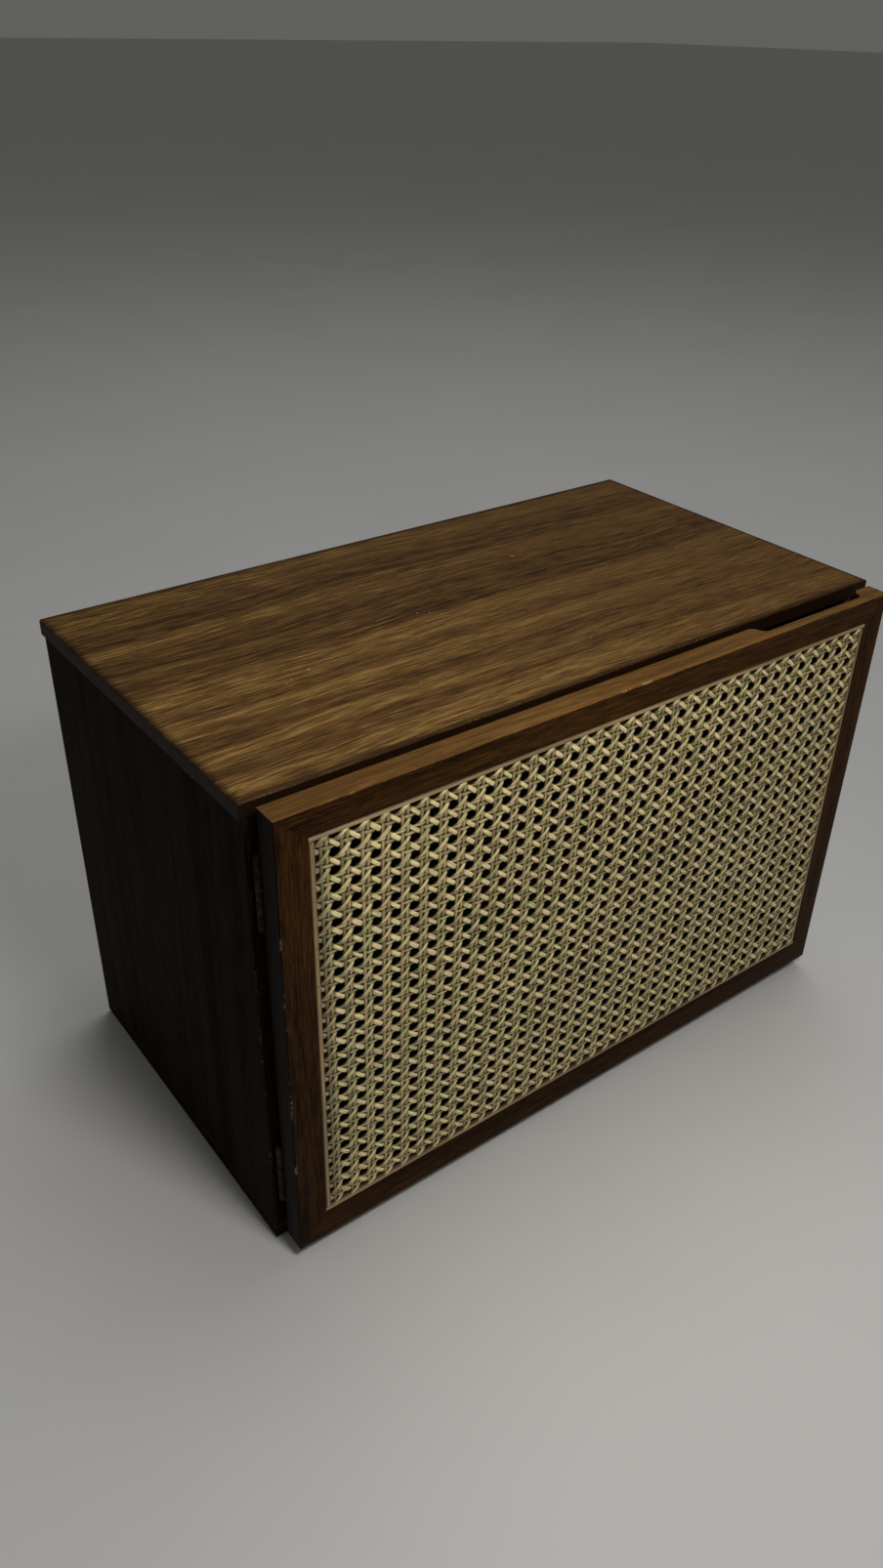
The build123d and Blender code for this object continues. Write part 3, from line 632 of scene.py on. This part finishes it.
class CABINET_OT_case_woods(Operator):
    """Veneer the case, and finish what is fixed inside it"""
    bl_idname = "cabinet.case_woods"
    bl_label = "Case Woods"

    def execute(self, context):
        woods = context.scene.cabinet_woods
        front, left, right = (1, top_low.y), (0, top_low.x), (0, top_high.x)
        upper, under = (2, top_high.z), (2, top_low.z)
        dark = tuple(woods.top_dark)
        # the board's edge faces, below its top face, much darker than the face itself
        below_face = (2, top_high.z - 1.4 * MM, LESS)
        paint("top_panel", wood(
            "top_veneer", "X", dark, tuple(woods.top_middle), tuple(woods.top_light), 1.7, gold=0.9,
            # painted sheen: golden streaks strongest at the top's left end
            figure=TOP_FIGURE, painted_sheen_span=(-0.26, 0.20), margins=(top_low.xy, top_high.xy, 8 * MM),
            zones=((below_face, dimmed(dark, 0.35)),), knocks=TOP_KNOCKS,
            arrises=((front, upper), (left, upper), (right, upper), (left, under)),
            worn=(0.17, 0.105, 0.05), wear=0.38, reach=1.7 * MM))
        # painted shade: the sides and the bottom much darker than the top, as if in shadow
        dark, light = tuple(woods.side_dark_shaded), tuple(woods.side_light_shaded)
        front_left = ((0, side_low.x), (1, side_low.y))
        boards = {"left_side_panel": ("Z", (0, side_high.x - SKIN, MORE)),
                  "right_side_panel": ("Z", (0, far_side_low.x + SKIN, LESS)),
                  "bottom_panel": ("X", (2, side_low.z - SKIN, MORE))}
        for seed, (node, (grain, inner_face)) in enumerate(boards.items(), 4):
            paint(node, wood(
                f"{node}_veneer", grain, dark, light, dimmed(light, 1.6), seed * 1.3, gold=0.35,
                arrises=(front_left,), wear=0.35, worn=(0.10, 0.06, 0.03),
                zones=((inner_face, tuple(woods.inside)),), roughness=0.62, shine=0.02))
        paint("centre_divider", wood(
            "divider_wood", "Z", (0.05, 0.028, 0.015), (0.09, 0.05, 0.026), (0.14, 0.08, 0.04), 9.1,
            gold=0.4, roughness=0.55))
        paint("back_panel", wood(
            "back_board", "X", (0.10, 0.060, 0.032), (0.17, 0.105, 0.056), (0.24, 0.155, 0.085),
            12.3, gold=0.4, roughness=0.68))
        return {"FINISHED"}


class CABINET_OT_door_woods(Operator):
    """Finish the door's mitred frame and the battens behind it"""
    bl_idname = "cabinet.door_woods"
    bl_label = "Door Woods"

    def execute(self, context):
        woods = context.scene.cabinet_woods
        dark, light = tuple(woods.door_dark), tuple(woods.door_light)
        middle = tuple((a + b) / 2 * 0.9 for a, b in zip(dark, light))
        lit_upper_face, outer_dark = tuple(woods.lit_upper_face), dimmed(dark, 0.7)
        face, upper, under = (1, door_face), (2, rail_high.z), (2, foot_low.z)
        left, right = (0, left_low.x), (0, right_high.x)
        outer = 0.9 * MM               # depth of the darker colour on the stiles' outer faces
        # painted light: the top rail's upward face lighter, as if lit from above
        upper_edge = (2, rail_high.z - 0.7 * MM, MORE, 0.5 * MM, 1.6 * MM)
        left_edge, right_edge = (0, left_low.x + outer, LESS), (0, right_high.x - outer, MORE)
        members = {"door_top_rail": ("X", (face, upper), ((upper_edge, lit_upper_face),)),
                   "door_bottom_rail": ("X", (face, under), ()),
                   "door_left_stile": ("Z", (face, left), ((left_edge, outer_dark),)),
                   "door_right_stile": ("Z", (face, right), ((right_edge, outer_dark),))}
        for seed, (node, (grain, arris, zones)) in enumerate(members.items(), 21):
            paint(node, wood(f"{node}_wood", grain, dark, middle, light, seed * 1.9, gold=0.7,
                             arrises=(arris,), zones=zones, wear=0.22, reach=1.9 * MM,
                             roughness=0.42, shine=0.03))
        for seed, (side, grain) in enumerate(SIDES.items(), 31):
            paint(f"cloth_stop_{side}", wood(
                f"stop_{side}_wood", grain, (0.03, 0.016, 0.009), (0.06, 0.034, 0.018),
                (0.10, 0.058, 0.03), seed * 1.1, gold=0.3, roughness=0.6))
        return {"FINISHED"}


def reed_material(woods, name, grain, seed, low, high):
    """Split reed: tan with long fibres and small dark nicks."""
    shade = Shade(name, Coat_Weight=0.1, Coat_Roughness=0.35)
    along = shade.mapped(shade.place, turn=TURN[grain])
    tone = shade.noise(shade.mapped(along, (7, 300, 300), (seed, 0, 0)), 1, 3, 0.6)
    fibres = shade.noise(shade.mapped(along, (35, 2400, 2400), (0, seed, 0)), 1, 3, 0.6)
    nicks = shade.noise(shade.mapped(along, (120, 300, 300), (0, 0, seed)), 1, 2, 0.5)
    reed = tuple(woods.reed)
    colour = shade.blend(shade.spread(tone, 0.35, 0.65), dimmed(reed, 0.62), dimmed(reed, 1.25))
    nick = shade.spread(nicks, 0.66, 0.74, 0.0, 0.7)
    colour = shade.blend(nick, colour, (0.06, 0.03, 0.015))
    # painted shade: the reed darker towards both its edges, beside the frame and the cane
    axis = 2 if grain == "X" else 0
    off = shade.gap(shade.axes()[axis], (low[axis] + high[axis]) / 2)
    half = (high[axis] - low[axis]) / 2
    painted_shade = shade.spread(off, 0.30 * half, 0.95 * half, 0.0, 0.92)
    colour = shade.blend(painted_shade, colour, (0.03, 0.016, 0.008))
    colour = shade.shaded(colour, shade.spread(fibres, 0.36, 0.64, 0.78, 1.15))
    return shade.finish(colour, shade.spread(fibres, 0.3, 0.7, 0.42, 0.58),
                        shade.bump(fibres, 0.3, 0.15 * MM))


class CABINET_OT_reed_beads(Operator):
    """Reed splines that hold the cane in its groove"""
    bl_idname = "cabinet.reed_beads"
    bl_label = "Reed Beads"

    def execute(self, context):
        woods = context.scene.cabinet_woods
        for seed, (side, grain) in enumerate(SIDES.items(), 41):
            node = f"cane_bead_{side}"
            paint(node, reed_material(woods, f"reed_{side}", grain, seed * 1.3, *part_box(node)))
        return {"FINISHED"}


THREAD_STEP = 0.9 * MM
CLOTH_WALL = 0.35 * MM
CLOTH_RIPPLE = 0.5 * MM
CLOTH_OFF_FRAME = 0.25 * MM            # from the room's front face to the middle of the cloth
CLOTH_CELLS = (56, 36)


def cloth_material():
    """Open black cloth, a near-black sheet that paints the shade seen through the cane's holes: two
    crossed sets of threads.
    """
    shade = Shade("black_cloth", Sheen_Weight=0.04, Sheen_Roughness=0.5, Specular_IOR_Level=0.12)
    x, _, z = shade.axes()
    turns = 2 * math.pi / THREAD_STEP
    warp, weft = (shade.math("SINE", shade.times(axis, turns)) for axis in (x, z))
    weave = shade.times(warp, weft)
    light = shade.spread(weave, -0.8, 0.8)
    colour = shade.blend(light, (0.0020, 0.0020, 0.0022), (0.0085, 0.0085, 0.0090))
    return shade.finish(colour, shade.spread(weave, -1, 1, 0.85, 0.95),
                        shade.bump(weave, 0.5, 0.2 * MM))


class CABINET_OT_shade_backing(Operator):
    """Black cloth stretched behind the cane: painted shade for the dark seen through its holes"""
    bl_idname = "cabinet.speaker_cloth"
    bl_label = "Black Cloth"

    def execute(self, context):
        low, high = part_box("grille_cloth")
        width, height = high.x - low.x, high.z - low.z
        middle = Vector(((low.x + high.x) / 2, low.y + CLOTH_OFF_FRAME, (low.z + high.z) / 2))
        bm = bmesh.new()
        turn = Matrix.Rotation(math.radians(90), 4, "X")
        size = Matrix.Diagonal((width / 2, height / 2, 1, 1))
        bmesh.ops.create_grid(bm, x_segments=CLOTH_CELLS[0], y_segments=CLOTH_CELLS[1], size=1.0,
                              matrix=Matrix.Translation(middle) @ turn @ size)
        for vert in bm.verts:
            across = math.cos(math.pi * (vert.co.x - middle.x) / width)
            up = math.cos(math.pi * (vert.co.z - middle.z) / height)
            vert.co.y += across * up * noise.noise(vert.co * 14) * CLOTH_RIPPLE
        piece = new_piece("black_cloth", bm, cloth_material(), DOOR,
                          ("grille_cloth",))
        wall = piece.modifiers.new("cloth", "SOLIDIFY")
        wall.thickness = CLOTH_WALL
        wall.offset = 0
        return {"FINISHED"}


def metal(name, colour, patch_colour, roughness, scale, seed):
    """Aged metal with darker patches and fine scratches."""
    shade = Shade(name, Metallic=1.0)
    patches = shade.noise(shade.place, scale, 5, 0.65)
    scratches = shade.noise(shade.mapped(shade.place, (300, 300, 2600), (seed, 0, 0)), 1, 2, 0.5)
    tint = shade.blend(shade.spread(patches, 0.42, 0.62), colour, patch_colour)
    scratched = shade.spread(scratches, 0.3, 0.7, roughness - 0.06, roughness + 0.10)
    rough = shade.plus(scratched, shade.spread(patches, 0.4, 0.6, 0.0, 0.12))
    return shade.finish(tint, rough, shade.bump(scratches, 0.15, 0.05 * MM))


def moulded(name, colour, roughness, scale):
    """Moulded plastic or rubber with a fine dull grain."""
    shade = Shade(name, Specular_IOR_Level=0.4)
    grain = shade.noise(shade.place, scale, 3, 0.6)
    dust = shade.noise(shade.place, scale * 0.06, 4, 0.6)
    dusty = tuple(part * 1.8 + 0.02 for part in colour)
    tint = shade.blend(shade.spread(dust, 0.45, 0.7, 0.0, 0.35), colour, dusty)
    return shade.finish(tint, shade.spread(grain, 0.3, 0.7, roughness - 0.06, roughness + 0.06),
                        shade.bump(grain, 0.25, 0.08 * MM))


class CABINET_OT_hardware(Operator):
    """Finish the hinges, catch, screws, bumpers and glides"""
    bl_idname = "cabinet.hardware"
    bl_label = "Hardware"

    def execute(self, context):
        # the hinges' aged bronze, darkened further as painted shade for the dark gap beside the
        # door
        shaded_bronze = metal("aged_shaded_bronze", (0.040, 0.028, 0.018), (0.015, 0.011, 0.008), 0.52, 220, 1.0)
        zinc = metal("dull_zinc", (0.42, 0.40, 0.37), (0.20, 0.18, 0.16), 0.42, 500, 3.0)
        nickel = metal("nickel", (0.52, 0.50, 0.47), (0.30, 0.28, 0.26), 0.32, 260, 5.0)
        brown = moulded("brown_plastic", (0.050, 0.028, 0.016), 0.45, 2600)
        rubber = moulded("black_rubber", (0.016, 0.016, 0.016), 0.72, 3200)
        nylon = moulded("dark_nylon", (0.035, 0.030, 0.026), 0.5, 2800)
        beech = wood("beech_dowel", "Z", (0.36, 0.24, 0.13), (0.46, 0.32, 0.19), (0.55, 0.40, 0.25),
                     51.0, gold=0.3, roughness=0.6)
        finishes = {shaded_bronze: [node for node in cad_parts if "hinge" in node],
                    zinc: ["back_panel_screws", "catch_screws", "strike_screws",
                           "cloth_stop_brads"],
                    nickel: ["strike_plate", "catch_magnet"], brown: ["catch_housing"],
                    rubber: ["door_bumpers"], nylon: ["floor_glides"],
                    beech: ["top_dowels", "bottom_dowels", "corner_dowels"]}
        for material, nodes in finishes.items():
            for node in nodes:
                paint(node, material)
        return {"FINISHED"}


# ---------------------------------------------------------------- stage
# each light's place, what it points at, and how wide it is
KEY_LIGHT = ((-0.20, -0.64, 0.98), (-0.05, -0.15, 0.25), 0.22)
OVERHEAD_LIGHT = ((0.9, 0.6, 3.4), (0.2, 0.2, 0), 2.2)
FILL_LIGHT = ((1.2, -1.9, 1.6), (0, 0, 0.2), 1.6)
WORLD_COLOUR, WORLD_STRENGTH = (0.75, 0.74, 0.72, 1), 0.16
FLOOR_HALF = 40.0
FLOOR_COLOURS = (0.60, 0.60, 0.59), (0.66, 0.66, 0.65)
# the camera: left of the top's corner, before the case's front, above the floor; degrees
CAMERA_LEFT, CAMERA_BEFORE, CAMERA_HEIGHT = 0.2812, 0.5783, 0.8485
CAMERA_PAN, CAMERA_DIP, CAMERA_ROLL = -37.40, 32.53, 1.30


def area_light(name, stand, power, colour):
    place, target, width = stand
    light = bpy.data.lights.new(name, "AREA")
    light.shape = "DISK"
    light.size = width
    light.energy = power
    light.color = colour
    lamp = bpy.data.objects.new(name, light)
    lamp.location = place
    lamp.rotation_euler = (Vector(target) - Vector(place)).to_track_quat("-Z", "Y").to_euler()
    bpy.context.scene.collection.objects.link(lamp)


class CABINET_OT_studio(Operator):
    """Pale floor, soft light and the camera"""
    bl_idname = "cabinet.studio"
    bl_label = "Studio"

    def execute(self, context):
        studio = context.scene.cabinet_studio
        bm = bmesh.new()
        bmesh.ops.create_grid(bm, x_segments=1, y_segments=1, size=FLOOR_HALF)
        mesh = bpy.data.meshes.new("floor")
        bm.to_mesh(mesh)
        bm.free()
        shade = Shade("pale_floor", Roughness=0.8)
        dust = shade.noise(shade.place, 3.0, 4, 0.6)
        mesh.materials.append(shade.finish(shade.blend(dust, *FLOOR_COLOURS)))
        floor = bpy.data.objects.new("floor", mesh)
        context.scene.collection.objects.link(floor)

        world = bpy.data.worlds.new("studio")
        world.use_nodes = True
        background = world.node_tree.nodes["Background"].inputs
        background["Color"].default_value = WORLD_COLOUR
        background["Strength"].default_value = WORLD_STRENGTH
        context.scene.world = world
        area_light("key", KEY_LIGHT, studio.key_power, (1.0, 0.97, 0.92))
        area_light("overhead", OVERHEAD_LIGHT, studio.overhead_power, (1.0, 1.0, 1.0))
        area_light("fill", FILL_LIGHT, studio.fill_power, (0.92, 0.96, 1.0))

        camera = bpy.data.cameras.new("camera")
        camera.lens = studio.lens
        camera.sensor_width = 36
        viewer = bpy.data.objects.new("camera", camera)
        at = Vector((top_low.x - CAMERA_LEFT, side_low.y - CAMERA_BEFORE, CAMERA_HEIGHT))
        angles = CAMERA_PAN, 90 - CAMERA_DIP, CAMERA_ROLL
        pan, tilt, roll = (math.radians(angle) for angle in angles)
        viewer.matrix_world = (Matrix.Translation(at) @ Matrix.Rotation(pan, 4, "Z")
                               @ Matrix.Rotation(tilt, 4, "X") @ Matrix.Rotation(roll, 4, "Z"))
        context.scene.collection.objects.link(viewer)
        context.scene.camera = viewer
        context.scene.view_settings.view_transform = "Standard"
        return {"FINISHED"}


class CABINET_PT_panel(Panel):
    """Sidebar list of the cabinet's pieces"""
    bl_idname = "CABINET_PT_panel"
    bl_label = "Cane Door Cabinet"
    bl_space_type = "VIEW_3D"
    bl_region_type = "UI"
    bl_category = "Cabinet"

    def draw(self, context):
        for operator in OPERATORS:
            self.layout.operator(operator.bl_idname)
        for group in SETTINGS:
            settings = getattr(context.scene, group)
            for key in settings.bl_rna.properties.keys():
                if key not in ("rna_type", "name"):
                    self.layout.prop(settings, key)


SETTINGS = {"cabinet_weave": WeaveSettings, "cabinet_woods": WoodSettings,
            "cabinet_studio": StudioSettings}
OPERATORS = (CABINET_OT_studio, CABINET_OT_case_woods, CABINET_OT_door_woods,
             CABINET_OT_cane_webbing, CABINET_OT_reed_beads, CABINET_OT_shade_backing,
             CABINET_OT_hardware)
CLASSES = (*SETTINGS.values(), *OPERATORS, CABINET_PT_panel)


def register():
    for cls in CLASSES:
        bpy.utils.register_class(cls)
    for name, group in SETTINGS.items():
        setattr(bpy.types.Scene, name, PointerProperty(type=group))


def unregister():
    for name in SETTINGS:
        delattr(bpy.types.Scene, name)
    for cls in reversed(CLASSES):
        bpy.utils.unregister_class(cls)


def main():
    register()
    for operator in OPERATORS:
        family, name = operator.bl_idname.split(".")
        getattr(getattr(bpy.ops, family), name)()


if __name__ == "__main__":
    main()
